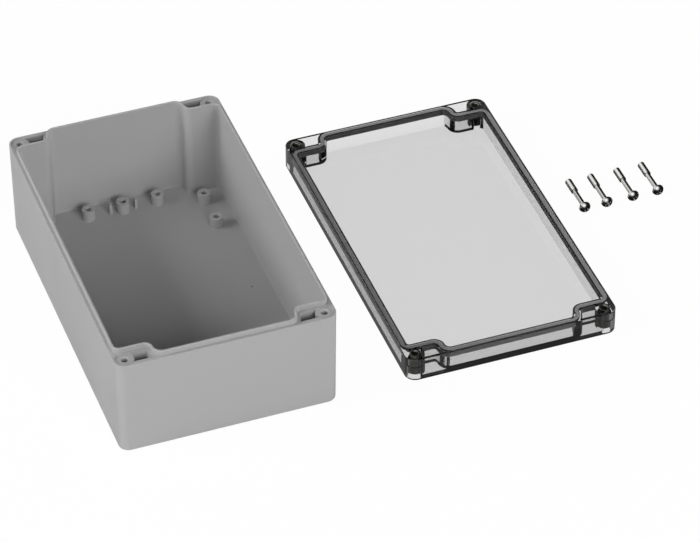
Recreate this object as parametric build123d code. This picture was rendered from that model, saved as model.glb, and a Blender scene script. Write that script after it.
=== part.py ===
from build123d import *
import math
import os

# Polycarbonate enclosure with a clear lid, shown opened.
# The grey base stands on its underside, open side up, with the origin at the centre of that face.
# X runs across the box to the right, Y along it to the back, Z up.
# The clear lid lies upside down to the right of the base, and its four captive screws lie beyond it.

# Outline that base and lid share
width = 120.0
length = 200.0
corner_radius = 6.0
side_wall = 3.0
inner_corner_radius = 3.0

# Corner pockets: at each corner the cavity wall steps inwards by an S-bend of two equal arcs
pocket_length = 18.8
step_radius = 4.5

# Base shell
base_height = 58.5
floor_thickness = 2.5
draft_angle = 0.5
bottom_chamfer = 0.8
floor_edge_chamfer = 0.4
rim_chamfer = 0.25
base_pocket_wall = 2.5

# Tongue along the inner edge of the base rim, which presses into the lid's seal
tongue_thickness = 1.3
tongue_height = 2.9
tongue_chamfer = 0.4

# Lid shell, with a sealing groove that takes the tongue
lid_height = 14.0
panel_thickness = 2.5
panel_chamfer = 0.5
lid_pocket_wall = 1.5
groove_clearance = 0.45
groove_inner_lip = 0.95
seal_height = 3.4
seal_squeeze = 2.5
seal_chamfer = 0.6
seal_clearance = 0.05

# Corner bosses of base and lid, on the axes of the corner screws
screw_inset = 6.0
boss_diameter = 10.0
boss_drop = 0.5
hole_chamfer = 0.4

# Captive corner screws, with a neck thinner than the thread
head_diameter = 6.6
head_height = 3.0
head_rim = 0.5
recess_length = 3.6
recess_width = 0.9
recess_depth = 1.2
neck_diameter = 2.8
thread_diameter = 4.0
thread_length = 10.2
thread_chamfer = 0.4
screw_reach = 14.4
hole_spare = 1.6
plastic_bite = 0.2

# Retaining bushes, set into the lid's corner bosses from its outer face
head_recess = 3.0
bush_flange_diameter = 7.6
bush_flange_height = 4.4
bush_neck_diameter = 6.0
bush_clearance = 0.05
bush_bite = 0.35
thread_clearance = 0.15

# Holes for wall fixing, through the floor of the corner pockets
wall_hole_diameter = 4.0
wall_hole_inset = 14.9

# Bosses on the base floor, for a rail across each end and for a circuit board
floor_boss_height = 6.5
floor_boss_diameter = 7.4
centre_boss_diameter = 7.8
rail_boss_inset = 13.5
rail_boss_pitch = 20.0
board_boss_inset_x = 15.5
board_boss_inset_y = 21.5
board_boss_pitch = 22.0
pilot_diameter = 3.2
pilot_depth = 6.0
rib_thickness = 1.6
rib_length = 2.4
rib_gap = 2.6
dimple_diameter = 1.8
dimple_depth = 0.5
dimple_inset = 14.0

# How the opened pieces lie beside each other
lid_gap = 38.75
lid_shift = 0.76
screw_gap = 22.4
screw_spacings = [13.33, 15.85, 14.95]
screw_shift = 0.85
screw_turn = -1.7
recess_turns = [20.0, 65.0, 5.0, 40.0]

# Sizes that follow from the ones above
half_width = width / 2
half_length = length / 2
screw_x = half_width - screw_inset
screw_y = half_length - screw_inset
lid_x = width + lid_gap
groove_outer = tongue_thickness + groove_clearance
groove_inner = -groove_clearance
groove_depth = tongue_height - seal_squeeze + seal_height
groove_floor = lid_height - groove_depth
bush_length = lid_height - head_recess
screw_length = bush_length + screw_reach
neck_length = screw_length - thread_length
bush_seat_diameter = bush_flange_diameter + 2 * bush_clearance
bush_neck_hole_diameter = bush_neck_diameter + 2 * bush_clearance
corners = [(-1, -1), (1, -1), (-1, 1), (1, 1)]
corner_names = ["front_left", "front_right", "back_left", "back_right"]


def rounded_plate(inset, level):
    """Outer outline of base and lid, moved inwards by inset, as a flat face at this level."""
    outline = RectangleRounded(width - 2 * inset, length - 2 * inset, corner_radius - inset)
    return Pos(0, 0, level) * outline


def wall_outline(offset, level):
    """Cavity outline with its stepped corners, moved outwards by offset, as a flat face.

    Every arc keeps its centre, so two of these outlines are a constant distance apart.
    """
    side = half_width - side_wall
    end = half_length - side_wall
    step = side - pocket_length
    bend_y = end - step_radius
    shelf_y = bend_y - step_radius
    corner_x = side - inner_corner_radius
    corner_y = shelf_y - inner_corner_radius
    with BuildSketch(Plane.XY.offset(level)) as outline:
        with BuildLine():
            Line((0, end + offset), (step - step_radius, end + offset))
            CenterArc((step - step_radius, bend_y), step_radius + offset, 0, 90)
            CenterArc((step + step_radius, bend_y), step_radius - offset, 180, 90)
            Line((step + step_radius, shelf_y + offset), (corner_x, shelf_y + offset))
            CenterArc((corner_x, corner_y), inner_corner_radius + offset, 0, 90)
            Line((side + offset, corner_y), (side + offset, 0))
            Line((side + offset, 0), (0, 0))
            Line((0, 0), (0, end + offset))
        make_face()
        mirror(about=Plane.YZ)
        mirror(about=Plane.XZ)
    return outline.sketch


def wall_band(inner, outer, level, height):
    """Band of constant width that follows the cavity wall, standing on this level."""
    return extrude(wall_outline(outer, level) - wall_outline(inner, level), height)


def corner_pockets(outer_wall, level, height):
    """Space of the four corner pockets: outside the cavity wall, beside the screw bosses."""
    area = rounded_plate(outer_wall, level) - wall_outline(side_wall, level)
    for sx, sy in corners:
        boss = Circle(boss_diameter / 2)
        web = Pos(sx * screw_inset / 2, 0) * Rectangle(screw_inset, boss_diameter)
        area -= Pos(sx * screw_x, sy * screw_y, level) * (boss + web)
    return extrude(area, height)


def drill(diameter, depth, countersink):
    """Hole below the origin, with a countersunk mouth."""
    shaft = Cylinder(diameter / 2, depth, align=(Align.CENTER, Align.CENTER, Align.MAX))
    mouth = Cone(diameter / 2, diameter / 2 + countersink, countersink,
                 align=(Align.CENTER, Align.CENTER, Align.MAX))
    return shaft + mouth


def floor_bosses():
    """Bosses of the base floor as places and diameters, the same at both ends."""
    places = []
    for sy in (-1, 1):
        rail_y = sy * (half_length - rail_boss_inset)
        places.append((0, rail_y, centre_boss_diameter))
        for sx in (-1, 1):
            places.append((sx * rail_boss_pitch, rail_y, floor_boss_diameter))
            for row in (0, 1):
                board_x = sx * (half_width - board_boss_inset_x)
                board_y = sy * (half_length - board_boss_inset_y - row * board_boss_pitch)
                places.append((board_x, board_y, floor_boss_diameter))
    return places


def enclosure_base():
    """Moulded base: drafted shell, tongue, corner pockets and bosses, and floor bosses."""
    base = extrude(rounded_plate(0, base_height), -base_height, taper=draft_angle)
    base = chamfer(base.edges().group_by(Axis.Z)[0], bottom_chamfer)
    base = chamfer(base.edges().group_by(Axis.Z)[-1], rim_chamfer)

    cavity_depth = base_height - floor_thickness
    cavity = extrude(wall_outline(0, base_height), -cavity_depth, taper=draft_angle)
    cavity = chamfer(cavity.edges().group_by(Axis.Z)[0], floor_edge_chamfer)
    base -= cavity
    base -= corner_pockets(base_pocket_wall, floor_thickness, cavity_depth)

    tongue = wall_band(0, tongue_thickness, base_height, tongue_height)
    tongue_bevel = min(tongue_chamfer, 0.4 * tongue_thickness)
    base += chamfer(tongue.edges().group_by(Axis.Z)[-1], tongue_bevel)

    boss_top = base_height - boss_drop
    screw_hole_depth = screw_reach + hole_spare - boss_drop
    screw_hole = drill(thread_diameter - 2 * plastic_bite, screw_hole_depth, hole_chamfer)
    wall_hole = Cylinder(wall_hole_diameter / 2, floor_thickness,
                         align=(Align.CENTER, Align.CENTER, Align.MIN))
    keep_clear = wall_outline(side_wall, boss_top)
    for sx, sy in corners:
        sunk_top = Pos(sx * screw_x, sy * screw_y, boss_top) * Circle(boss_diameter / 2)
        base -= extrude(sunk_top - keep_clear, boss_drop)
        base -= Pos(sx * screw_x, sy * screw_y, boss_top) * screw_hole
        base -= Pos(sx * (half_width - wall_hole_inset), sy * screw_y, 0) * wall_hole

    pilot_level = floor_thickness + floor_boss_height
    pilot = Cylinder(pilot_diameter / 2, pilot_depth, align=(Align.CENTER, Align.CENTER, Align.MAX))
    for x, y, diameter in floor_bosses():
        base += Pos(x, y, floor_thickness) * Cylinder(
            diameter / 2, floor_boss_height, align=(Align.CENTER, Align.CENTER, Align.MIN))
        base -= Pos(x, y, pilot_level) * pilot

    rib_x = (centre_boss_diameter + rib_thickness) / 2 + rib_gap
    rib = Box(rib_thickness, rib_length, floor_boss_height,
              align=(Align.CENTER, Align.CENTER, Align.MIN))
    dimple = Cylinder(dimple_diameter / 2, dimple_depth,
                      align=(Align.CENTER, Align.CENTER, Align.MAX))
    for sx, sy in corners:
        rib_y = sy * (half_length - rail_boss_inset)
        base += Pos(sx * rib_x, rib_y, floor_thickness) * rib
    for sx in (-1, 1):
        base -= Pos(sx * (half_width - dimple_inset), 0, floor_thickness) * dimple
    return base


def clear_lid():
    """Moulded lid, upside down: flat panel, stepped rim with its groove, corner bosses."""
    lid = extrude(rounded_plate(0, 0), lid_height)
    lid = chamfer(lid.edges().group_by(Axis.Z)[0], panel_chamfer)
    lid = chamfer(lid.edges().group_by(Axis.Z)[-1], rim_chamfer)

    tray_depth = lid_height - panel_thickness
    lid -= extrude(wall_outline(groove_inner - groove_inner_lip, panel_thickness), tray_depth)
    lid -= corner_pockets(lid_pocket_wall, panel_thickness, tray_depth)
    lid -= wall_band(groove_inner, groove_outer, groove_floor, groove_depth)

    bottom_up = (Align.CENTER, Align.CENTER, Align.MIN)
    flange_hole = Cylinder(bush_seat_diameter / 2, head_recess + bush_flange_height, align=bottom_up)
    neck_hole = Cylinder(bush_neck_hole_diameter / 2, lid_height, align=bottom_up)
    for sx, sy in corners:
        lid -= Pos(sx * screw_x, sy * screw_y, 0) * (flange_hole + neck_hole)
    return Pos(lid_x, lid_shift, 0) * lid


def lid_seal():
    """Foamed cord that nearly fills the lid's groove, with bevelled upper edges."""
    inner = groove_inner + seal_clearance
    outer = groove_outer - seal_clearance
    cord = wall_band(inner, outer, groove_floor, seal_height)
    bevel = min(seal_chamfer, 0.4 * (outer - inner), 0.9 * seal_height)
    cord = chamfer(cord.edges().group_by(Axis.Z)[-1], bevel)
    return Pos(lid_x, lid_shift, 0) * cord


def retaining_bush():
    """Turned bush: the flange lets the thread pass, the threaded neck holds the screw captive."""
    flange = bush_flange_diameter / 2
    neck = bush_neck_diameter / 2
    free_bore = thread_diameter / 2 + thread_clearance
    core = thread_diameter / 2 - bush_bite
    profile = make_face(Polyline(
        (free_bore, 0), (flange, 0), (flange, bush_flange_height), (neck, bush_flange_height),
        (neck, bush_length), (core + hole_chamfer, bush_length), (core, bush_length - hole_chamfer),
        (core, bush_flange_height), (free_bore, bush_flange_height), (free_bore, 0)))
    return revolve(Plane.XZ * profile, Axis.Z)


def lid_screw():
    """Captive screw: domed head below the origin, thin neck and thread above it."""
    head = head_diameter / 2
    neck = neck_diameter / 2
    thread = thread_diameter / 2
    cap_height = head_height - head_rim
    cap_radius = (head ** 2 + cap_height ** 2) / (2 * cap_height)
    cap_centre = cap_radius - head_height
    cap_angle = math.degrees(math.atan2(cap_centre + head_rim, head))
    with BuildPart() as screw:
        with BuildSketch(Plane.XZ):
            with BuildLine():
                CenterArc((0, cap_centre), cap_radius, -90, 90 - cap_angle)
                Polyline((head, -head_rim), (head, 0), (neck, 0), (neck, neck_length),
                         (thread, neck_length), (thread, screw_length - thread_chamfer),
                         (thread - thread_chamfer, screw_length), (0, screw_length),
                         (0, -head_height))
            make_face()
        revolve(axis=Axis.Z)
        with BuildSketch(Plane.XY.offset(-head_height)):
            Rectangle(recess_length, recess_width)
            Rectangle(recess_width, recess_length)
        extrude(amount=recess_depth, mode=Mode.SUBTRACT)
    return screw.part


def lay_down(screw, x, turn):
    """Lay a screw on the floor beside the lid, on the rim of its head and the end of its thread."""
    drop = (head_diameter - thread_diameter) / 2
    tilt = math.atan2(drop, screw_length - thread_chamfer)
    seat_height = head_diameter / 2 * math.cos(tilt)
    lie = Rot(0, 0, screw_turn) * Rot(-90 - math.degrees(tilt), 0, 0) * Rot(0, 0, turn)
    return Pos(x, screw_shift, seat_height) * lie * screw


pieces = {"enclosure_base": enclosure_base(), "clear_lid": clear_lid(), "lid_seal": lid_seal()}

bush = retaining_bush()
for (sx, sy), corner_name in zip(corners, corner_names):
    seat = Pos(lid_x + sx * screw_x, lid_shift + sy * screw_y, head_recess)
    pieces["retaining_bush_" + corner_name] = seat * bush

loose_screw = lid_screw()
row_x = lid_x + half_width + screw_gap
for number, turn in enumerate(recess_turns):
    pieces[f"lid_screw_{number + 1}"] = lay_down(loose_screw, row_x, turn)
    row_x += screw_spacings[number] if number < len(screw_spacings) else 0

os.makedirs("parts", exist_ok=True)
for name, piece in pieces.items():
    export_step(piece, f"parts/{name}.step")
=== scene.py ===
# %% [markdown]
# # A polycarbonate enclosure, opened
# The object is a deep moulded box of grey plastic, a clear lid that lies upside down beside it, and
# four loose lid screws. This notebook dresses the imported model: it keeps every size and place, and
# adds rounded edges, screw threads and finishes. Each markdown cell says what the next piece is on
# the real object and why it is made the way it is.

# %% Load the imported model
import math
import bpy
import bmesh
import numpy as np
from mathutils import Matrix, Vector
from mathutils.geometry import tessellate_polygon


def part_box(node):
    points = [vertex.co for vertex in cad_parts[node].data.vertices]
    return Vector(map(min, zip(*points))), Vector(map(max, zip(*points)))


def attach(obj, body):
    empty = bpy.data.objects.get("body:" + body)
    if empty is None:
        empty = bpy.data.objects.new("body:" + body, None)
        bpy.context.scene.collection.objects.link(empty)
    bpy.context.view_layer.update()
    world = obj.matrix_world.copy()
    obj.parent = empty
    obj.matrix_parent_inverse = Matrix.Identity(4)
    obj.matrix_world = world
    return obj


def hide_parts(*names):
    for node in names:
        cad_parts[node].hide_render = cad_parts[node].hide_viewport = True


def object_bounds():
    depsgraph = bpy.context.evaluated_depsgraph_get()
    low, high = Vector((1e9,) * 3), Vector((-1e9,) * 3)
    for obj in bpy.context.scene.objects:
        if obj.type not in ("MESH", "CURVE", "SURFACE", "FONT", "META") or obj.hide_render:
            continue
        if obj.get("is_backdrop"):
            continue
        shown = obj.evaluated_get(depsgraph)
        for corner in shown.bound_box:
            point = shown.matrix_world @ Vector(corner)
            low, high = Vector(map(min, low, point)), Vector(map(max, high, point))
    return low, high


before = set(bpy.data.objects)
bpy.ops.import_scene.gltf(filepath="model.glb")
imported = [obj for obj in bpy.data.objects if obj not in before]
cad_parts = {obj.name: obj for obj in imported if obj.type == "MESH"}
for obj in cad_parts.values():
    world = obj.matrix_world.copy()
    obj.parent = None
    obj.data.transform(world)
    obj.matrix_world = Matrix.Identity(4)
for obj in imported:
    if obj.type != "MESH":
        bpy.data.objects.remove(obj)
cad_low, cad_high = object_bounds()
MM = 0.001
scene = bpy.context.scene
print("pieces in the frame:", sorted(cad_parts))

# %% [markdown]
# ## Camera
# The photograph is a product picture taken from above and a little from the left, with a long lens,
# so parallel edges stay almost parallel. Place, direction and focal length were worked out from the
# straight edges of base and lid. A sensor of 36 mm across 700 pixels turns the focal length in
# pixels into millimetres.

# %% Camera
focal_in_pixels = 3837.5
picture_width = 700
camera_place = Vector((-0.44796, -1.50621, 1.34708))
camera_direction = Vector((0.26252, 0.71861, -0.64397))

camera_data = bpy.data.cameras.new("camera")
camera_data.sensor_width = 36.0
camera_data.lens = camera_data.sensor_width * focal_in_pixels / picture_width
camera = bpy.data.objects.new("camera", camera_data)
camera.location = camera_place
camera.rotation_euler = camera_direction.to_track_quat("-Z", "Y").to_euler()
scene.collection.objects.link(camera)
scene.camera = camera
print("lens in mm:", round(camera_data.lens, 1))

# %% [markdown]
# ## Paths that the walls follow
# Base and lid are extruded shapes: a few outlines, each carried up and down by a profile. The cheap
# way to offset an outline is to scale it, but then a wall gets thinner at its ends. Here every
# outline is kept as points with outward normals, so an offset of d millimetres is the point plus d
# times its normal, and two offsets stay a constant distance apart. Only one quarter is worked out,
# because the enclosure is the same about both of its middle planes.

# %% Arcs and closed paths
arc_steps = 10


def arc(centre, radius, start, end, side=1):
    """Centre plus radius times (cos a, sin a), for a from start to end in degrees.

    The second array is the normal, which points away from the centre, or towards it at side -1.
    """
    angle = np.radians(np.linspace(start, end, arc_steps + 1))
    ray = np.stack([np.cos(angle), np.sin(angle)], axis=1)
    return np.array(centre) + radius * ray, side * ray


def all_round(arcs):
    """Join the arcs of one quarter, then mirror them about both axes to a closed path."""
    points, normals = (np.concatenate(parts) for parts in zip(*arcs))
    whole = []
    for flip, backwards in (((1, 1), 1), ((1, -1), -1), ((-1, -1), 1), ((-1, 1), -1)):
        whole.append([(values * np.array(flip))[::backwards] for values in (points, normals)])
    return tuple(np.concatenate(parts) for parts in zip(*whole))


# %% [markdown]
# The outer outline is a rectangle with rounded corners. The cavity outline steps inwards near each
# corner by an S-bend of two equal arcs, to leave room for the screw boss and a fixing pocket. Its
# first arc bulges outwards, its second one is hollow, so that one has its normals reversed.

# %% The two outlines of the enclosure
lid_low, lid_high = (np.array(corner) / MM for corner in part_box("clear_lid"))
half_length = round((lid_high - lid_low)[1]) / 2
half_width = round((lid_high - lid_low)[0]) / 2
corner_radius = 6.0
side_wall = 3.0
inner_corner_radius = 3.0
pocket_length = 18.8
step_radius = 4.5

side = half_width - side_wall
end = half_length - side_wall
shelf = end - 2 * step_radius
step_x = side - pocket_length
inner_corner = (side - inner_corner_radius, shelf - inner_corner_radius)
screw_x, screw_y = half_width - corner_radius, half_length - corner_radius

outer_path = all_round([arc((screw_x, screw_y), corner_radius, 90, 0)])
wall_path = all_round([
    arc((step_x - step_radius, end - step_radius), step_radius, 90, 0),
    arc((step_x + step_radius, end - step_radius), step_radius, 180, 270, side=-1),
    arc(inner_corner, inner_corner_radius, 90, 0),
])
print("points in the outer outline and the cavity:", len(outer_path[0]), len(wall_path[0]))

# %% [markdown]
# ## Surfaces
# Four kinds of surface make all the moulded pieces. A **skin** is a profile of offsets and levels
# carried round a path. A **flat** fills a loop and leaves holes. A **wall** repeats the same line
# at several levels. A **turned** surface is a profile of radii and heights spun about an axis. Each
# returns its vertices and faces, and a piece is a list of them, welded where they meet.

# %% Surface helpers
round_steps = 32


def strip(rings, closed=True):
    """Quads between each ring and the next, as index arithmetic on the whole grid."""
    rings = np.asarray(rings)
    index = np.arange(rings.shape[0] * rings.shape[1]).reshape(rings.shape[:2])
    if closed:
        index = np.column_stack([index, index[:, 0]])
    quads = np.stack([index[:-1, :-1], index[:-1, 1:], index[1:, 1:], index[1:, :-1]], axis=-1)
    return rings.reshape(-1, 3), quads.reshape(-1, 4).tolist()


def lifted(loop, level):
    """A loop of (x, y) at one level, as (x, y, z)."""
    return np.column_stack([loop, np.full(len(loop), level)])


def skin(path, profile):
    """Ring k is the path's points plus offset k times their normals, at level k."""
    points, normals = path
    return strip([lifted(points + offset * normals, level) for offset, level in profile])


def wall(line, levels, closed=True):
    """The same line, closed to a loop or left open, repeated at each level."""
    return strip([lifted(line, level) for level in levels], closed)


def flat(loops, level):
    """Triangles that fill the first loop and leave the others open."""
    rings = [lifted(loop, level) for loop in loops]
    triangles = tessellate_polygon([[Vector(point) for point in ring] for ring in rings])
    return np.concatenate(rings), [list(triangle) for triangle in triangles]


def circle(centre, radius):
    """Centre plus radius times (cos a, sin a) for a full turn, without the repeated last point."""
    angle = np.linspace(0, 2 * np.pi, round_steps, endpoint=False)
    return np.array(centre) + radius * np.stack([np.cos(angle), np.sin(angle)], axis=1)


def turned(centre, profile):
    """Circles of the profile's radii at its heights, about an upright axis through the centre."""
    return strip([lifted(circle(centre, radius), level) for radius, level in profile])


def rounding(centre_offset, centre_level, radius, start, end, steps=4):
    """Part of a circle for a profile: centre plus radius times (cos a, sin a), a in degrees."""
    angle = np.radians(np.linspace(start, end, steps + 1))
    return list(zip(centre_offset + radius * np.cos(angle), centre_level + radius * np.sin(angle)))


# %% [markdown]
# ## From surfaces to a piece
# Welding the vertices makes one closed shell out of the separate surfaces. Normals are worked out
# after the weld, so every face points outwards. Edges that turn by more than 32 degrees stay crisp,
# or by more than 60 on the soft seal, and the Weighted Normal modifier lets the large flat faces
# win over the small roundings beside them, which keeps reflections on the flats straight.

# %% Build a piece
weld_distance = 0.002


def make_piece(name, surfaces, replaced, material, crisp=32.0):
    """Weld the surfaces, given in millimetres, into one object that takes the place of a node."""
    vertices = np.concatenate([points for points, faces in surfaces]) * MM
    starts = np.cumsum([0] + [len(points) for points, faces in surfaces])
    faces = [[start + i for i in face]
             for start, (points, group) in zip(starts, surfaces) for face in group]
    mesh = bpy.data.meshes.new(name)
    mesh.from_pydata(vertices.tolist(), [], faces)
    shell = bmesh.new()
    shell.from_mesh(mesh)
    bmesh.ops.remove_doubles(shell, verts=shell.verts, dist=weld_distance * MM)
    bmesh.ops.recalc_face_normals(shell, faces=shell.faces)
    open_edges = sum(1 for edge in shell.edges if len(edge.link_faces) != 2)
    shell.to_mesh(mesh)
    shell.free()
    mesh.polygons.foreach_set("use_smooth", [True] * len(mesh.polygons))
    mesh.set_sharp_from_angle(angle=math.radians(crisp))
    piece = bpy.data.objects.new(name, mesh)
    scene.collection.objects.link(piece)
    weighted = piece.modifiers.new("flat faces win", "WEIGHTED_NORMAL")
    weighted.keep_sharp = True
    mesh.materials.append(material)
    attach(piece, "root")
    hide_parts(replaced)
    print(name, "faces:", len(mesh.polygons), "open edges:", open_edges)
    return piece


# %% [markdown]
# ## Grey polycarbonate
# The base is moulded in a light grey that is coloured right through. Its surface is spark-eroded
# satin: not glossy, not chalky. A mirror-smooth plastic would look wet, so the shader gets a middle
# roughness, and a very fine noise bump breaks up the highlight. A slow noise shifts the roughness a
# little, as on any moulding that cooled unevenly.

# %% Grey polycarbonate
def new_material(name):
    """A material with its node tree and its shader at hand."""
    material = bpy.data.materials.new(name)
    material.use_nodes = True
    return material, material.node_tree, material.node_tree.nodes["Principled BSDF"]


def object_noise(tree, scale, detail=2.0):
    """Noise on the piece's own coordinates; at metre units a scale of 1000 is one cycle a mm."""
    place = tree.nodes.new("ShaderNodeTexCoord")
    noise = tree.nodes.new("ShaderNodeTexNoise")
    noise.inputs["Scale"].default_value = scale
    noise.inputs["Detail"].default_value = detail
    tree.links.new(place.outputs["Object"], noise.inputs["Vector"])
    return noise


def add_bump(tree, shader, noise, height, strength):
    """Tilt the shading by the noise's slope, as if it were this many metres high."""
    bump = tree.nodes.new("ShaderNodeBump")
    bump.inputs["Distance"].default_value = height
    bump.inputs["Strength"].default_value = strength
    tree.links.new(noise.outputs["Fac"], bump.inputs["Height"])
    tree.links.new(bump.outputs["Normal"], shader.inputs["Normal"])


def range_of(tree, noise, low, high):
    """Stretch the middle of a noise, from 0.3 to 0.7, to a range of values."""
    spread = tree.nodes.new("ShaderNodeMapRange")
    for socket, value in (("From Min", 0.3), ("From Max", 0.7), ("To Min", low), ("To Max", high)):
        spread.inputs[socket].default_value = value
    tree.links.new(noise.outputs["Fac"], spread.inputs["Value"])
    return spread.outputs["Result"]


def grey_polycarbonate():
    """Satin grey plastic: slow noise in the roughness and fine grain as a bump."""
    material, tree, shader = new_material("grey polycarbonate")
    shader.inputs["Base Color"].default_value = (0.39, 0.39, 0.39, 1)
    shader.inputs["IOR"].default_value = 1.58
    shader.inputs["Specular IOR Level"].default_value = 0.3
    cooling = object_noise(tree, scale=25)
    tree.links.new(range_of(tree, cooling, 0.42, 0.52), shader.inputs["Roughness"])
    grain = object_noise(tree, scale=4000)
    add_bump(tree, shader, grain, height=0.00002, strength=0.25)
    return material


grey = grey_polycarbonate()
print("material of the base:", grey.name)

# %% [markdown]
# ## Clear polycarbonate
# The lid is clear and polished, so its surface bends light with the plastic's real index of 1.58.
# Light that crosses a wall comes out pale. Light that is mirrored along inside a wall comes out
# dark, because floor and world stay dark for such rays further down, and that draws the black lines
# along rim, bosses and bends. A flat see-through shader would have no such lines. The body swallows
# a little light too, so a long way through it is a little greyer.

# %% Clear polycarbonate
def clear_polycarbonate():
    """Polished clear plastic: a surface that refracts and a body that absorbs a little."""
    material, tree, shader = new_material("clear polycarbonate")
    shader.inputs["Base Color"].default_value = (0.853, 0.853, 0.853, 1)
    shader.inputs["Roughness"].default_value = 0.0
    shader.inputs["IOR"].default_value = 1.58
    shader.inputs["Specular IOR Level"].default_value = 0.3
    shader.inputs["Transmission Weight"].default_value = 1.0
    body = tree.nodes.new("ShaderNodeVolumeAbsorption")
    body.inputs["Color"].default_value = (0.5, 0.5, 0.5, 1)
    body.inputs["Density"].default_value = 20.0
    tree.links.new(body.outputs["Volume"], tree.nodes["Material Output"].inputs["Volume"])
    return material


clear = clear_polycarbonate()
print("material of the lid:", clear.name)

# %% [markdown]
# ## Base
# The base is one moulding. Its outer skin leans in by half a degree towards the bottom so that it
# leaves the mould, and so does the cavity. Along the rim runs a thin tongue that presses into the
# lid's seal. One skin per path makes all of this: the outer profile rises from the rounded bottom
# edge to the rim, and the inner profile climbs over the tongue and goes down to the floor.

# %% Base: the skins
rim_level = 58.5
tongue_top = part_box("enclosure_base")[1][2] / MM
tongue_thickness = 1.3
floor_level = 2.5
lean = math.tan(math.radians(0.5))
bottom_round = 0.8
rim_round = 0.25
tongue_round = 0.4
floor_round = 0.4

foot = rim_level * lean
outer_profile = [(-foot - offset, level) for offset, level in rounding(
    bottom_round, bottom_round, bottom_round, -90, -180)]
outer_profile += [(-offset, level) for offset, level in rounding(
    rim_round, rim_level - rim_round, rim_round, 180, 90)]
base_outer = skin(outer_path, outer_profile)

cavity_foot = -(rim_level - floor_level) * lean
round_level = tongue_top - tongue_round
cavity_profile = [(tongue_thickness, rim_level)]
cavity_profile += rounding(tongue_thickness - tongue_round, round_level, tongue_round, 0, 90)
cavity_profile += rounding(tongue_round, round_level, tongue_round, 90, 180)
cavity_profile += [(0, rim_level)]
cavity_profile += rounding(
    cavity_foot - floor_round, floor_level + floor_round, floor_round, 0, -90)
base_cavity = skin(wall_path, cavity_profile)
print("rings in the outer and inner profiles:", len(outer_profile), len(cavity_profile))

# %% [markdown]
# ### Corner pockets and bosses
# Outside the cavity wall, each corner holds a pocket with a hole for fixing the box to a wall, and
# a round boss for the lid screw whose top lies half a millimetre under the rim. Seen from above,
# the pocket is bounded by arcs that are concentric with the cavity's S-bend, by the boss, and by
# the straight outer wall. Its corners with the wall and the boss are found from the circles'
# equations.

# %% Corner shapes
boss_radius = 5.0
boss_top = rim_level - 0.5
screw_centre = (screw_x, screw_y)
band = side_wall
pocket_wall = 2.5


def degrees_up(rise, radius):
    """The angle at which a circle of this radius has climbed by this rise."""
    return math.degrees(math.asin(rise / radius))


def boss_angles(outer_wall):
    """Where the boss's circle meets the band below it and the outer wall behind it."""
    low_angle = 180 + degrees_up(screw_y - shelf - band, boss_radius)
    high_angle = 180 - degrees_up(half_length - outer_wall - screw_y, boss_radius)
    return low_angle, high_angle


def pocket_loop(outer_wall):
    """The pocket's outline in the right back corner, and how many of its points are the boss's."""
    bend_y = end - step_radius
    outer_radius = step_radius + band
    wall_angle = degrees_up(half_length - outer_wall - bend_y, outer_radius)
    outer_bend, _ = arc((step_x - step_radius, bend_y), outer_radius, wall_angle, 0)
    inner_bend, _ = arc((step_x + step_radius, bend_y), step_radius - band, 180, 270)
    boss_side, _ = arc(screw_centre, boss_radius, *boss_angles(outer_wall))
    return np.concatenate([outer_bend, inner_bend, boss_side]), arc_steps + 1


def sunk_loop(outer_wall):
    """The boss's sunk top: its circle, cut off by the band that carries the tongue."""
    reach = inner_corner_radius + band
    low_angle, high_angle = boss_angles(outer_wall)
    gap = screw_y - inner_corner[1]
    lowest = degrees_up((reach ** 2 - boss_radius ** 2 - gap ** 2) / (2 * gap), boss_radius)
    meet_height = gap + boss_radius * math.sin(math.radians(lowest))
    corner_arc, _ = arc(inner_corner, reach, 90, degrees_up(meet_height, reach))
    far_side, _ = arc(screw_centre, boss_radius, lowest, high_angle)
    boss_side, _ = arc(screw_centre, boss_radius, high_angle, low_angle)
    return corner_arc, far_side, boss_side


def in_corners(loop):
    """A loop of the right back corner, mirrored to all four corners."""
    return [loop * np.array(flip) for flip in ((1, 1), (1, -1), (-1, 1), (-1, -1))]


def in_corners_surfaces(surface):
    """A surface of the right back corner, mirrored to all four corners."""
    points, faces = surface
    return [(points * np.array(flip), faces)
            for flip in ((1, 1, 1), (1, -1, 1), (-1, 1, 1), (-1, -1, 1))]


print("the sunk top starts at", np.round(sunk_loop(pocket_wall)[1][0], 2))

# %% [markdown]
# The rim is a flat face between the outer skin and the tongue, with an opening at each corner. The
# pocket's wall goes down to the floor, but along the boss it starts at the sunk top.

# %% Base: rim, pockets and corner bosses
screw_hole_radius = 1.8
screw_hole_depth = 15.5
screw_hole_chamfer = 0.4
wall_hole_radius = 2.0
wall_hole_inset = 14.9

pocket, boss_points = pocket_loop(pocket_wall)
corner_arc, far_side, boss_side = sunk_loop(pocket_wall)
opening = np.concatenate([pocket[:-boss_points], boss_side[-1:], corner_arc, far_side])
sunk_top = np.concatenate([corner_arc, far_side, boss_side[1:]])
rim_loops = [outer_path[0] - rim_round * outer_path[1],
             wall_path[0] + tongue_thickness * wall_path[1]]
base_rim = flat(rim_loops + in_corners(opening), rim_level)

screw_hole = [(screw_hole_radius + screw_hole_chamfer, boss_top),
              (screw_hole_radius, boss_top - screw_hole_chamfer),
              (screw_hole_radius, boss_top - screw_hole_depth)]
wall_hole = circle((half_width - wall_hole_inset, screw_y), wall_hole_radius)

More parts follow.
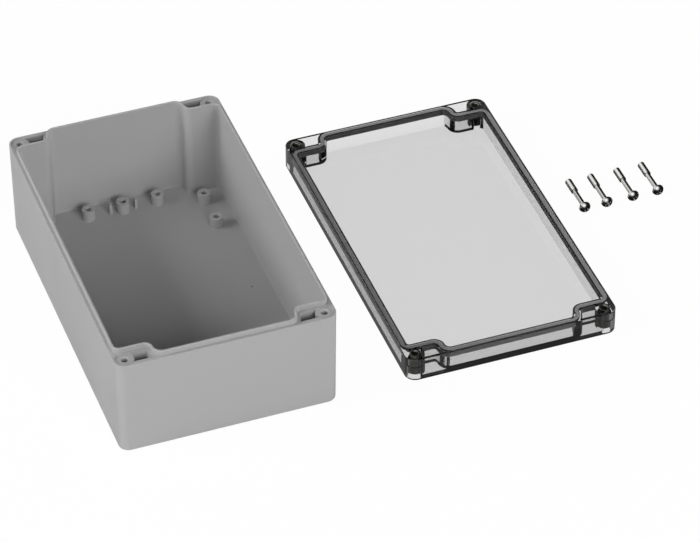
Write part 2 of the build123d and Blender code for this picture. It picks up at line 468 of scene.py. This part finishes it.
deep_line = np.concatenate([far_side[-1:], pocket[:-boss_points], boss_side[-1:]])
step_line = np.concatenate([boss_side[-1:], corner_arc, far_side])
corner_parts = [
    wall(deep_line, (rim_level, boss_top, floor_level), closed=False),
    wall(boss_side, (boss_top, floor_level), closed=False),
    wall(step_line, (rim_level, boss_top), closed=False),
    flat([sunk_top, circle(screw_centre, screw_hole[0][0])], boss_top),
    turned(screw_centre, screw_hole),
    flat([circle(screw_centre, screw_hole[-1][0])], screw_hole[-1][1]),
    flat([pocket, wall_hole], floor_level),
    wall(wall_hole, (floor_level, 0.0)),
]
base_corners = [copy for part in corner_parts for copy in in_corners_surfaces(part)]
underside = outer_path[0] + outer_profile[0][0] * outer_path[1]
base_underside = flat([underside] + in_corners(wall_hole), 0.0)
print("surfaces in the four corners:", len(base_corners))

# %% [markdown]
# ### Floor
# Seven bosses stand at each end: three in a row for a mounting rail and two at each side for a
# circuit board. Two short ribs guide the middle one. Each boss is turned: a small fillet at its
# foot, a rounded top edge and a blind pilot hole. The floor is one flat face that leaves room for
# all of them.

# %% Base: floor, bosses, ribs and dimples
boss_level = floor_level + 6.5
middle_boss_radius = 3.9
other_boss_radius = 3.7
boss_fillet = 0.3
boss_round = 0.2
pilot_radius = 1.6
pilot_depth = 6.0
pilot_chamfer = 0.15
rail_y = half_length - 13.5
rail_spacing = 20.0
board_x = half_width - 15.5
board_rows = (half_length - 21.5, half_length - 43.5)
rib_size = (1.6, 2.4)
rib_gap = 2.6
rib_x = middle_boss_radius + rib_gap + rib_size[0] / 2
dimple_x = half_width - 14.0
dimple_radius = 0.9
dimple_depth = 0.5

signs = (1, -1)
boss_places = [((0, sy * rail_y), middle_boss_radius) for sy in signs]
boss_places += [((sx * rail_spacing, sy * rail_y), other_boss_radius)
                for sx in signs for sy in signs]
boss_places += [((sx * board_x, sy * y), other_boss_radius)
                for sx in signs for sy in signs for y in board_rows]


def floor_boss(centre, radius):
    """Foot fillet, upright side, rounded top edge, flat top and a blind pilot hole."""
    profile = rounding(radius + boss_fillet, floor_level + boss_fillet, boss_fillet, 270, 180)
    profile += rounding(radius - boss_round, boss_level - boss_round, boss_round, 0, 90)
    profile += [(pilot_radius + pilot_chamfer, boss_level),
                (pilot_radius, boss_level - pilot_chamfer),
                (pilot_radius, boss_level - pilot_depth)]
    hole_bottom = flat([circle(centre, pilot_radius)], boss_level - pilot_depth)
    return turned(centre, profile), hole_bottom


def rectangle(centre, size):
    """The four corners of a rectangle along the axes: centre plus or minus half the size."""
    corners = np.array([(-1, -1), (1, -1), (1, 1), (-1, 1)])
    return np.array(centre) + corners * np.array(size) / 2


ribs = [rectangle((sx * rib_x, sy * rail_y), rib_size) for sx in signs for sy in signs]
dimples = [circle((sx * dimple_x, 0), dimple_radius) for sx in signs]
floor_loop = wall_path[0] + cavity_profile[-1][0] * wall_path[1]
feet = [circle(centre, radius + boss_fillet) for centre, radius in boss_places]

base_floor = [flat([floor_loop] + feet + ribs + dimples, floor_level)]
for centre, radius in boss_places:
    base_floor += floor_boss(centre, radius)
for rib in ribs:
    base_floor += [wall(rib, (floor_level, boss_level)), flat([rib], boss_level)]
for dimple in dimples:
    base_floor += [wall(dimple, (floor_level, floor_level - dimple_depth)),
                   flat([dimple], floor_level - dimple_depth)]

base_surfaces = [base_outer, base_cavity, base_rim, base_underside] + base_corners + base_floor
make_piece("base", base_surfaces, "enclosure_base", grey)

# %% [markdown]
# ## Lid
# The lid lies on its outer face, so its rim with the sealing groove points up. The groove follows
# the same stepped path as the tongue. Because the plastic is clear, every inner surface shows
# through every other one: the shell has to be closed and each wall has to be where the real one is.
# The outer edge of the rim is rounded more than the others. Light bends through that rounding, and
# a sharper one would draw a bright line along the left rim.

# %% Lid
lid_centre = np.array([(lid_low[0] + lid_high[0]) / 2, (lid_low[1] + lid_high[1]) / 2, 0.0])
lid_height = lid_high[2]
panel = 2.5
panel_round = 0.25
lid_rim_round = 0.4
lip_round = 0.08
groove = (-0.45, 1.75)
groove_floor = 10.2
tray_wall = -1.4

lid_outer_profile = [(-offset, level) for offset, level in rounding(
    panel_round, panel_round, panel_round, -90, -180)]
lid_outer_profile += [(-offset, level) for offset, level in rounding(
    lid_rim_round, lid_height - lid_rim_round, lid_rim_round, 180, 90)]
lid_outer = skin(outer_path, lid_outer_profile)

top = lid_height - lip_round
groove_profile = [(groove[1] + lip_round, lid_height)]
groove_profile += rounding(groove[1] + lip_round, top, lip_round, 90, 180, 3)[1:]
groove_profile += [(groove[1], groove_floor), (groove[0], groove_floor)]
groove_profile += rounding(groove[0] - lip_round, top, lip_round, 0, 90, 3)
groove_profile += rounding(tray_wall + lip_round, top, lip_round, 90, 180, 3)
groove_profile += [(tray_wall, panel)]
lid_inner = skin(wall_path, groove_profile)
tray_floor = flat([wall_path[0] + tray_wall * wall_path[1]], panel)
print("rings in the outer and inner profiles:", len(lid_outer_profile), len(groove_profile))

# %% [markdown]
# ### Lid corners
# Each corner has the same pocket as the base, with a thinner outer wall, and a stepped hole for a
# bush: wide from the outer face to the top of the bush's flange, and narrow from there to the rim.

# %% Lid: pockets, bush holes and the whole lid
lid_pocket_wall = 1.5
neck_hole_radius = 3.05
flange_hole_radius = 3.85
flange_top = 7.4

lid_pocket, _ = pocket_loop(lid_pocket_wall)
neck_hole = circle(screw_centre, neck_hole_radius)
flange_hole = circle(screw_centre, flange_hole_radius)
bush_hole = [(neck_hole_radius, lid_height), (neck_hole_radius, flange_top),
             (flange_hole_radius, flange_top), (flange_hole_radius, 0.0)]
lid_rim_loops = [outer_path[0] - lid_rim_round * outer_path[1],
                 wall_path[0] + groove_profile[0][0] * wall_path[1]]
lid_rim = flat(lid_rim_loops + in_corners(lid_pocket) + in_corners(neck_hole), lid_height)
panel_face = outer_path[0] + lid_outer_profile[0][0] * outer_path[1]
lid_face = flat([panel_face] + in_corners(flange_hole), 0.0)
lid_corner_parts = [
    wall(lid_pocket, (lid_height, panel)),
    flat([lid_pocket], panel),
    turned(screw_centre, bush_hole),
]
lid_surfaces = [lid_outer, lid_inner, tray_floor, lid_rim, lid_face]
lid_surfaces += [copy for part in lid_corner_parts for copy in in_corners_surfaces(part)]
lid_surfaces = [(points + lid_centre, faces) for points, faces in lid_surfaces]
make_piece("lid", lid_surfaces, "clear_lid", clear)

# %% [markdown]
# ## Seal
# A polyurethane cord is laid into the groove as a liquid and foams up until it is almost level with
# the rim, with a slightly crowned top. Were it lower, the clear wall of the groove would show above
# it as a bright line. Its section is a closed profile carried round the stepped path. Foam is matt
# and dark with a fine cell structure: a noise varies its grey, and the same noise as a bump gives
# it depth.

# %% Seal
def foam():
    """Dark matt foam: one noise gives both the grey of the cells and their depth."""
    material, tree, shader = new_material("dark foam")
    shader.inputs["Roughness"].default_value = 0.85
    cells = object_noise(tree, scale=1500, detail=4)
    ramp = tree.nodes.new("ShaderNodeValToRGB")
    ramp.color_ramp.elements[0].position = 0.35
    ramp.color_ramp.elements[1].position = 0.65
    ramp.color_ramp.elements[0].color = (0.17, 0.17, 0.17, 1)
    ramp.color_ramp.elements[1].color = (0.28, 0.28, 0.28, 1)
    tree.links.new(cells.outputs["Fac"], ramp.inputs["Fac"])
    tree.links.new(ramp.outputs["Color"], shader.inputs["Base Color"])
    add_bump(tree, shader, cells, height=0.0002, strength=0.5)
    return material


seal_gap = 0.05
crown = 0.15
seal_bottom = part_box("lid_seal")[0][2] / MM
seal_top = lid_height - seal_gap
seal_inner, seal_outer = groove[0] + seal_gap, groove[1] - seal_gap
middle = (seal_inner + seal_outer) / 2
half_seal = (seal_outer - seal_inner) / 2

# The crown is half an ellipse: half the width times cos a, and the crown's height times sin a.
angles = np.radians(np.linspace(0, 180, 11))
seal_profile = [(seal_inner, seal_bottom), (seal_outer, seal_bottom)]
seal_profile += list(zip(middle + half_seal * np.cos(angles),
                         seal_top - crown + crown * np.sin(angles)))
seal_profile += seal_profile[:1]
seal_points, seal_faces = skin(wall_path, seal_profile)
seal_surfaces = [(seal_points + lid_centre, seal_faces)]
make_piece("seal", seal_surfaces, "lid_seal", foam(), crisp=60)

# %% [markdown]
# ## Turned metal: bushes and screws
# Bushes and screws come off a lathe, so their surface is a radius that depends on the height. A
# thread makes that radius depend on the angle as well: the tooth at height z and angle a is the one
# at height z minus pitch times a over a full turn. One grid of angle and height holds the whole
# piece, threads included.

# %% Lathe helper and metals
pitch = 0.7
thread_radius = 2.0
thread_depth = 0.25
flank_rise = 3.0
root_share = 0.25


def lathe(profile, thread_from, thread_to, depth, steps=40):
    """Radius of a profile over angle and height, with a thread cut along part of it.

    With p for the part of z / pitch - a / turn after the point, the tooth is the flank's rise times
    the distance of p from a half, less the root's share, clipped to 0 in the root and 1 on the
    crest. The radius is the profile's own minus depth times (1 - tooth) between the two heights, so
    a negative depth cuts outwards into a bore.
    """
    angle = np.linspace(0, 2 * np.pi, steps, endpoint=False)
    radius, height = (np.array(values)[:, None] for values in zip(*profile))
    phase = (height / pitch - angle[None, :] / (2 * np.pi)) % 1.0
    tooth = np.clip(flank_rise * np.abs(phase - 0.5) - root_share, 0, 1)
    inside = (height > thread_from) & (height < thread_to)
    shaped = radius - np.where(inside, depth * (1 - tooth), 0.0)
    x, y = shaped * np.cos(angle), shaped * np.sin(angle)
    return np.stack([x, y, np.broadcast_to(height, x.shape)], axis=-1)


def metal(name, colour, roughness, scale):
    """Turned metal: fine rings round the axis would need each piece's axis, so a noise serves."""
    material, tree, shader = new_material(name)
    shader.inputs["Base Color"].default_value = colour
    shader.inputs["Metallic"].default_value = 1.0
    marks = object_noise(tree, scale=scale)
    roughnesses = range_of(tree, marks, roughness - 0.04, roughness + 0.06)
    tree.links.new(roughnesses, shader.inputs["Roughness"])
    add_bump(tree, shader, marks, height=0.00001, strength=0.2)
    return material


bush_metal = metal("nickel plated bush", (0.24, 0.24, 0.20, 1), roughness=0.42, scale=2500)
steel = metal("stainless steel", (0.62, 0.62, 0.60, 1), roughness=0.22, scale=1800)
print("metals:", bush_metal.name, "and", steel.name)

# %% [markdown]
# ### Bushes
# Each lid corner holds a bush: its flange is let into the outer face and its threaded neck ends
# flush with the rim. The screw's thread is wound through it once, and the thin neck of the screw
# then turns freely, so that the screw can't fall out.

# %% Bushes
flange_bottom = 3.0
flange_radius = 3.8
sleeve_radius = 3.0
bush_round = 0.2
clear_bore = 2.15
threaded_bore = thread_radius - 0.35
lead_in = 0.4
bore_top = 13.6
bore_rings = 72
bore_thread_depth = 0.35 * thread_depth
thread_margin = 0.1

bush_profile = [(clear_bore, flange_bottom)]
bush_profile += rounding(
    flange_radius - bush_round, flange_bottom + bush_round, bush_round, -90, 0, 2)
bush_profile += [(flange_radius, flange_top), (sleeve_radius, flange_top)]
bush_profile += rounding(sleeve_radius - bush_round, lid_height - bush_round, bush_round, 0, 90, 2)
bush_profile += [(threaded_bore + lead_in, lid_height)]
bore_heights = np.linspace(bore_top, flange_top, bore_rings)
bush_profile += [(threaded_bore, height) for height in bore_heights]
bush_profile += [(clear_bore, flange_top), (clear_bore, flange_bottom)]
bush_grid = lathe(bush_profile, flange_top + thread_margin, bore_top - thread_margin,
                  -bore_thread_depth)
print("rings and steps of the bush's grid:", bush_grid.shape[:2])


def bush(name, node):
    """One grid for the whole bush, up the outside and down the bore, centred on its node's box."""
    low, high = (np.array(corner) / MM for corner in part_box(node))
    place = np.array([(low[0] + high[0]) / 2, (low[1] + high[1]) / 2, 0.0])
    make_piece(name, [strip(bush_grid + place)], node, bush_metal)


for place_name in ("front_left", "front_right", "back_left", "back_right"):
    bush("bush_" + place_name, "retaining_bush_" + place_name)

# %% [markdown]
# ### Screws
# A lid screw has a domed head with a cross recess, a thin neck and a short thread. Lying on a flat
# surface it touches with the rim of its head and the end of its thread, so its axis tilts by the
# arctangent of the difference of their radii over the distance. The dome is part of a sphere. The
# recess is cut with a cross of two bars by a Boolean modifier that is applied at once.

# %% Screw profile
head_radius = 3.3
head_height = 3.0
head_rim = 0.5
head_chamfer = 0.15
neck_radius = 1.4
neck_fillet = 0.2
neck_length = 15.2
screw_length = 25.4
thread_start = 0.3
thread_end = 0.4

dome = head_height - head_rim
sphere = (head_radius ** 2 + dome ** 2) / (2 * dome)
edge_angle = math.asin(head_radius / sphere)
dome_angles = np.linspace(0.0, edge_angle, 12)[1:]

screw_profile = [(sphere * math.sin(a), -head_height + sphere * (1 - math.cos(a)))
                 for a in dome_angles]
screw_profile += [(head_radius, -head_chamfer), (head_radius - head_chamfer, 0.0),
                  (neck_radius + neck_fillet, 0.0), (neck_radius, neck_fillet),
                  (neck_radius, neck_length), (thread_radius - thread_start, neck_length)]
thread_heights = np.arange(neck_length + thread_margin, screw_length - thread_end, pitch / 8)
screw_profile += [(thread_radius, height) for height in thread_heights]
screw_profile += [(thread_radius, screw_length - thread_end),
                  (thread_radius - thread_end, screw_length)]
print("rings in the screw's profile:", len(screw_profile))

# %% Screws
heading = -1.7
last_tooth = screw_length - 0.5
cross_length = 3.6
cross_width = 0.9
cross_depth = 1.2
above_dome = 0.5
cross_turns = (20.0, 65.0, 5.0, 40.0)


def screw_surface():
    """The lathe grid, closed by a fan at the top of the dome and one at the thread's end."""
    grid = lathe(screw_profile, neck_length, last_tooth, thread_depth)
    points, faces = strip(grid)
    around = grid.shape[1]
    last_ring = len(points) - around
    dome_top, tip = len(points), len(points) + 1
    points = np.vstack([points, [(0, 0, -head_height), (0, 0, screw_length)]])
    faces += [[dome_top, (i + 1) % around, i] for i in range(around)]
    faces += [[tip, last_ring + i, last_ring + (i + 1) % around] for i in range(around)]
    return points, faces, dome_top


def lie_down(points, turn, node):
    """Turn the screw about its axis, tip it over onto the floor and centre it on its node's box."""
    tilt = math.atan2(head_radius - thread_radius, screw_length - thread_end)
    pose = Matrix.Rotation(math.radians(heading), 3, "Z")
    pose = pose @ Matrix.Rotation(-math.pi / 2 - tilt, 3, "X")
    pose = pose @ Matrix.Rotation(math.radians(turn), 3, "Z")
    laid = points @ np.array(pose).T
    low, high = (np.array(corner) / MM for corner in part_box(node))
    return laid + (low + high) / 2 - (laid.min(axis=0) + laid.max(axis=0)) / 2, pose


def cut_cross(piece, pose, head_top):
    """Cut two crossed bars into the dome, from a little above it down to the cross's depth."""
    for size in ((cross_length, cross_width), (cross_width, cross_length)):
        bar_points, bar_faces = wall(rectangle((0, 0), size), (-above_dome, cross_depth))
        bar_points = bar_points @ np.array(pose).T + head_top
        bar_faces += [[3, 2, 1, 0], [4, 5, 6, 7]]
        bar = bpy.data.meshes.new("bar")
        bar.from_pydata((bar_points * MM).tolist(), [], bar_faces)
        tool = bpy.data.objects.new("bar", bar)
        scene.collection.objects.link(tool)
        cut = piece.modifiers.new("cross", "BOOLEAN")
        cut.object = tool
        cut.solver = "EXACT"
        bpy.context.view_layer.update()
        evaluated = piece.evaluated_get(bpy.context.evaluated_depsgraph_get())
        piece.data = bpy.data.meshes.new_from_object(evaluated)
        piece.modifiers.clear()
        bpy.data.objects.remove(tool)


screw_points, screw_faces, dome_top = screw_surface()
for number, turn in enumerate(cross_turns, start=1):
    node = f"lid_screw_{number}"
    laid, pose = lie_down(screw_points, turn, node)
    screw = make_piece(f"screw_{number}", [(laid, screw_faces)], node, steel)
    screw.modifiers.clear()
    cut_cross(screw, pose, laid[dome_top])

# %% [markdown]
# ## Floor and background
# The picture has a plain white background. The floor takes the object's shadow, and where the
# camera, a reflection or a view through the clear lid meets it, most of what they see is plain
# white. The world is white to the camera as well. Which ray arrives is read from the Light Path
# node, so a few helpers for sums and choices in a node tree come first.

# %% Node helpers for floor and world
def plug(tree, value, socket):
    """Write a number into a socket, or link another node's output to it."""
    if isinstance(value, float):
        socket.default_value = value
    else:
        tree.links.new(value, socket)


def calculate(tree, operation, first, second):
    """The result of a Math node for two values, each a number or a socket."""
    step = tree.nodes.new("ShaderNodeMath")
    step.operation = operation
    plug(tree, first, step.inputs[0])
    plug(tree, second, step.inputs[1])
    return step.outputs["Value"]


def between(tree, test, at_zero, at_one):
    """One value where the test is 0, another where it is 1, and in proportion between them."""
    spread = tree.nodes.new("ShaderNodeMapRange")
    plug(tree, test, spread.inputs["Value"])
    plug(tree, at_zero, spread.inputs["To Min"])
    plug(tree, at_one, spread.inputs["To Max"])
    return spread.outputs["Result"]


def choose(tree, test, otherwise, then):
    """The second shader where the test is 1, else the first."""
    mix = tree.nodes.new("ShaderNodeMixShader")
    tree.links.new(test, mix.inputs["Fac"])
    tree.links.new(otherwise, mix.inputs[1])
    tree.links.new(then, mix.inputs[2])
    return mix.outputs["Shader"]


# %% [markdown]
# The floor is not the same for every ray. What the camera sees directly and through the lid is
# mostly plain white. A ray that was mirrored inside the plastic finds the floor nearly dark, and
# the gloss on the lid's outer faces finds it dim. A ray that metal has mirrored goes right through
# the floor, so that the lower sides of the screws mirror the world's windows as well.

# %% Floor
floor_size = 8.0
floor_drop = 0.0002

floor_mesh = bpy.data.meshes.new("floor")
floor_corners = lifted(rectangle((0, 0), (floor_size, floor_size)), -floor_drop)
floor_mesh.from_pydata(floor_corners.tolist(), [], [(0, 1, 2, 3)])
floor = bpy.data.objects.new("floor", floor_mesh)
scene.collection.objects.link(floor)
floor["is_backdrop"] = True


def white_floor(seen_share, clear_share, mirrored_level, gloss_level):
    """Mix a pale diffuse floor with plain white, by the kind of ray that arrives.

    The two shares say how much of the floor is plain white to the camera and through the lid. The
    rest is the lit floor with its shadows. The two levels are the strength of that white after a
    reflection inside the plastic, and after one on the outside of the lid.
    """
    material, tree, shader = new_material("white floor")
    shader.inputs["Base Color"].default_value = (0.9, 0.9, 0.9, 1)
    shader.inputs["Roughness"].default_value = 0.9
    ray = tree.nodes.new("ShaderNodeLightPath").outputs
    outside = calculate(tree, "LESS_THAN", ray["Transmission Depth"], 0.5)
    was_mirrored = calculate(tree, "GREATER_THAN", ray["Glossy Depth"], 0.5)

    by_camera = calculate(tree, "MULTIPLY", ray["Is Camera Ray"], seen_share)
    surface_share = between(tree, ray["Is Transmission Ray"], 1.0, clear_share)
    by_surface = calculate(tree, "MULTIPLY", ray["Is Glossy Ray"], surface_share)
    share = calculate(tree, "MAXIMUM", by_camera, by_surface)

    on_lid = calculate(tree, "MULTIPLY", ray["Is Singular Ray"], outside)
    reflected = between(tree, on_lid, mirrored_level, gloss_level)
    glow = tree.nodes.new("ShaderNodeEmission")
    tree.links.new(between(tree, was_mirrored, 1.0, reflected), glow.inputs["Strength"])
    white = choose(tree, share, shader.outputs["BSDF"], glow.outputs["Emission"])

    rough = calculate(tree, "SUBTRACT", 1.0, ray["Is Singular Ray"])
    mirrored_outside = calculate(tree, "MULTIPLY", was_mirrored, outside)
    on_metal = calculate(tree, "MULTIPLY", mirrored_outside, rough)
    see_through = tree.nodes.new("ShaderNodeBsdfTransparent")
    surface = choose(tree, on_metal, white, see_through.outputs["BSDF"])
    tree.links.new(surface, tree.nodes["Material Output"].inputs["Surface"])
    return material


floor_mesh.materials.append(white_floor(
    seen_share=0.97, clear_share=0.84, mirrored_level=0.02, gloss_level=0.3))
print("floor in metres:", floor_size, "square")

# %% [markdown]
# ## Light
# Large soft lamps and a weak, even world give the matt plastic its shading. Metal needs something
# to mirror, so the world shows it two soft round windows in the dark: one low at the back on the
# left, and one high in front. They give the screws a bright streak with dark sides. For rays that
# have crossed the lid the world is dark, so that light guided inside the plastic stays dark. Only
# rays that leave a matt surface through the lid find it bright, and they light the seal's sides.

# %% World
world = bpy.data.worlds.new("studio")
scene.world = world
world.use_nodes = True
sky = world.node_tree
sky_ray = sky.nodes.new("ShaderNodeLightPath").outputs
sky_direction = sky.nodes.new("ShaderNodeTexCoord").outputs["Generated"]


def background(strength):
    """A plain grey background of this strength."""
    node = sky.nodes.new("ShaderNodeBackground")
    node.inputs["Color"].default_value = (1, 1, 1, 1)
    node.inputs["Strength"].default_value = strength
    return node


def window(towards, edge, core, darkest, brightest, strength):
    """A soft round window on the sky.

    Its grey depends on the dot product of the ray's direction with the window's: darkest below the
    edge's value, brightest above the core's, and in proportion between them.
    """
    facing = sky.nodes.new("ShaderNodeVectorMath")
    facing.operation = "DOT_PRODUCT"
    facing.inputs[1].default_value = Vector(towards).normalized()
    sky.links.new(sky_direction, facing.inputs[0])
    ramp = sky.nodes.new("ShaderNodeValToRGB")
    first, last = ramp.color_ramp.elements
    first.position, last.position = edge, core
    first.color = (darkest, darkest, darkest, 1)
    last.color = (brightest, brightest, brightest, 1)
    sky.links.new(facing.outputs["Value"], ramp.inputs["Fac"])
    pane = background(strength)
    sky.links.new(ramp.outputs["Color"], pane.inputs["Color"])
    return pane


def deeper_than_none(depth_name):
    """1 where a ray has been through at least one bounce of the named kind."""
    return calculate(sky, "GREATER_THAN", sky_ray[depth_name], 0.5)


back_window = window(
    (-0.75, 0.6, 0.25), edge=0.60, core=0.78, darkest=0.01, brightest=0.9, strength=1.15)
high_window = window(
    (-0.35, -0.5, 0.79), edge=0.72, core=0.98, darkest=0.0, brightest=1.0, strength=1.6)
windows = sky.nodes.new("ShaderNodeAddShader")
sky.links.new(back_window.outputs["Background"], windows.inputs[0])
sky.links.new(high_window.outputs["Background"], windows.inputs[1])

soft, dark, under_lid, plain = (
    background(strength).outputs["Background"] for strength in (0.085, 0.02, 0.9, 1.0))
through_lid = choose(sky, deeper_than_none("Diffuse Depth"), dark, under_lid)
surround = choose(sky, sky_ray["Is Glossy Ray"], soft, windows.outputs["Shader"])
surround = choose(sky, deeper_than_none("Transmission Depth"), surround, through_lid)
surround = choose(sky, sky_ray["Is Camera Ray"], surround, plain)
sky.links.new(surround, sky.nodes["World Output"].inputs["Surface"])
print("nodes in the world:", len(sky.nodes))

# %% [markdown]
# Four square lamps stand round the object. The front one is turned a little to the right and the
# left one a little to the back, so that the upright edge between the base's front and left faces
# hardly stands out. The two weak ones keep the other sides from going dark. No lamp shows in a
# reflection or through the lid.

# %% Lamps
lamp_distance = 4.0
lamp_size = 2.25
lamp_target = Vector((0.0, 0.0, 0.05))


def area_lamp(name, azimuth, elevation, power):
    """A square lamp that faces the object from an azimuth, clockwise from the front.

    Its place is the target plus the distance times (-sin a cos e, -cos a cos e, sin e).
    """
    data = bpy.data.lights.new(name, "AREA")
    data.size = lamp_size
    data.energy = power
    turn, rise = math.radians(azimuth), math.radians(elevation)
    flat_reach = math.cos(rise)
    away = Vector((-math.sin(turn) * flat_reach, -math.cos(turn) * flat_reach, math.sin(rise)))
    lamp = bpy.data.objects.new(name, data)
    lamp.location = lamp_target + lamp_distance * away
    lamp.rotation_euler = (-away).to_track_quat("-Z", "Y").to_euler()
    lamp.visible_transmission = False
    lamp.visible_glossy = False
    scene.collection.objects.link(lamp)
    print(name, "lamp at", [round(value, 2) for value in lamp.location])


area_lamp("front", azimuth=350, elevation=26, power=118.0)
area_lamp("left", azimuth=98, elevation=28, power=136.0)
area_lamp("back", azimuth=180, elevation=8, power=62.0)
area_lamp("right", azimuth=270, elevation=8, power=62.0)

# %% [markdown]
# ## Finish
# Standard view transform shows colours as they are written. The difference between the object's box
# before and after the dressing is printed, so that a change of size would show.

# %% Finish
scene.view_settings.view_transform = "Standard"
low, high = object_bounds()
change = [round((a - b) / MM, 3) for a, b in zip((*low, *high), (*cad_low, *cad_high))]
print("box change in mm:", change)
